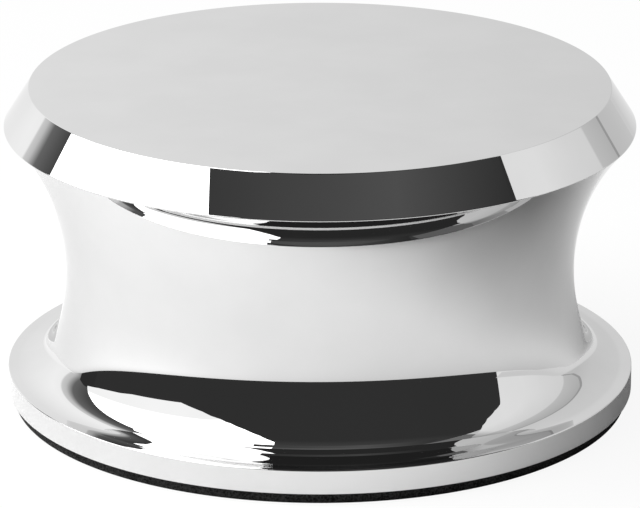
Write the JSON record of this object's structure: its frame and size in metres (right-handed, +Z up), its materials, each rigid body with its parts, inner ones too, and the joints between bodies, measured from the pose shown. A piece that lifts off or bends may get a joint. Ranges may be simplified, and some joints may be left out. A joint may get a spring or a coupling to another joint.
{
  "type": "record weight clamp",
  "caption": "Mirror-plated turned weight with a chamfered head, concave grip neck and padded base flange, set over a turntable's spindle to hold a record flat.",
  "frame": {"origin": "middle of the pad's underside, on the spindle axis", "axes": "+Z up along the axis of revolution; +X and +Y lie in the pad's underside"},
  "size_m": [0.08, 0.08, 0.0413],
  "materials": {
    "plated_metal": "mirror polished",
    "pad_rubber": "matt, fine grain"
  },
  "bodies": {
    "root": {"weight_body": "plated_metal", "base_pad": "pad_rubber"}
  },
  "joints": []
}
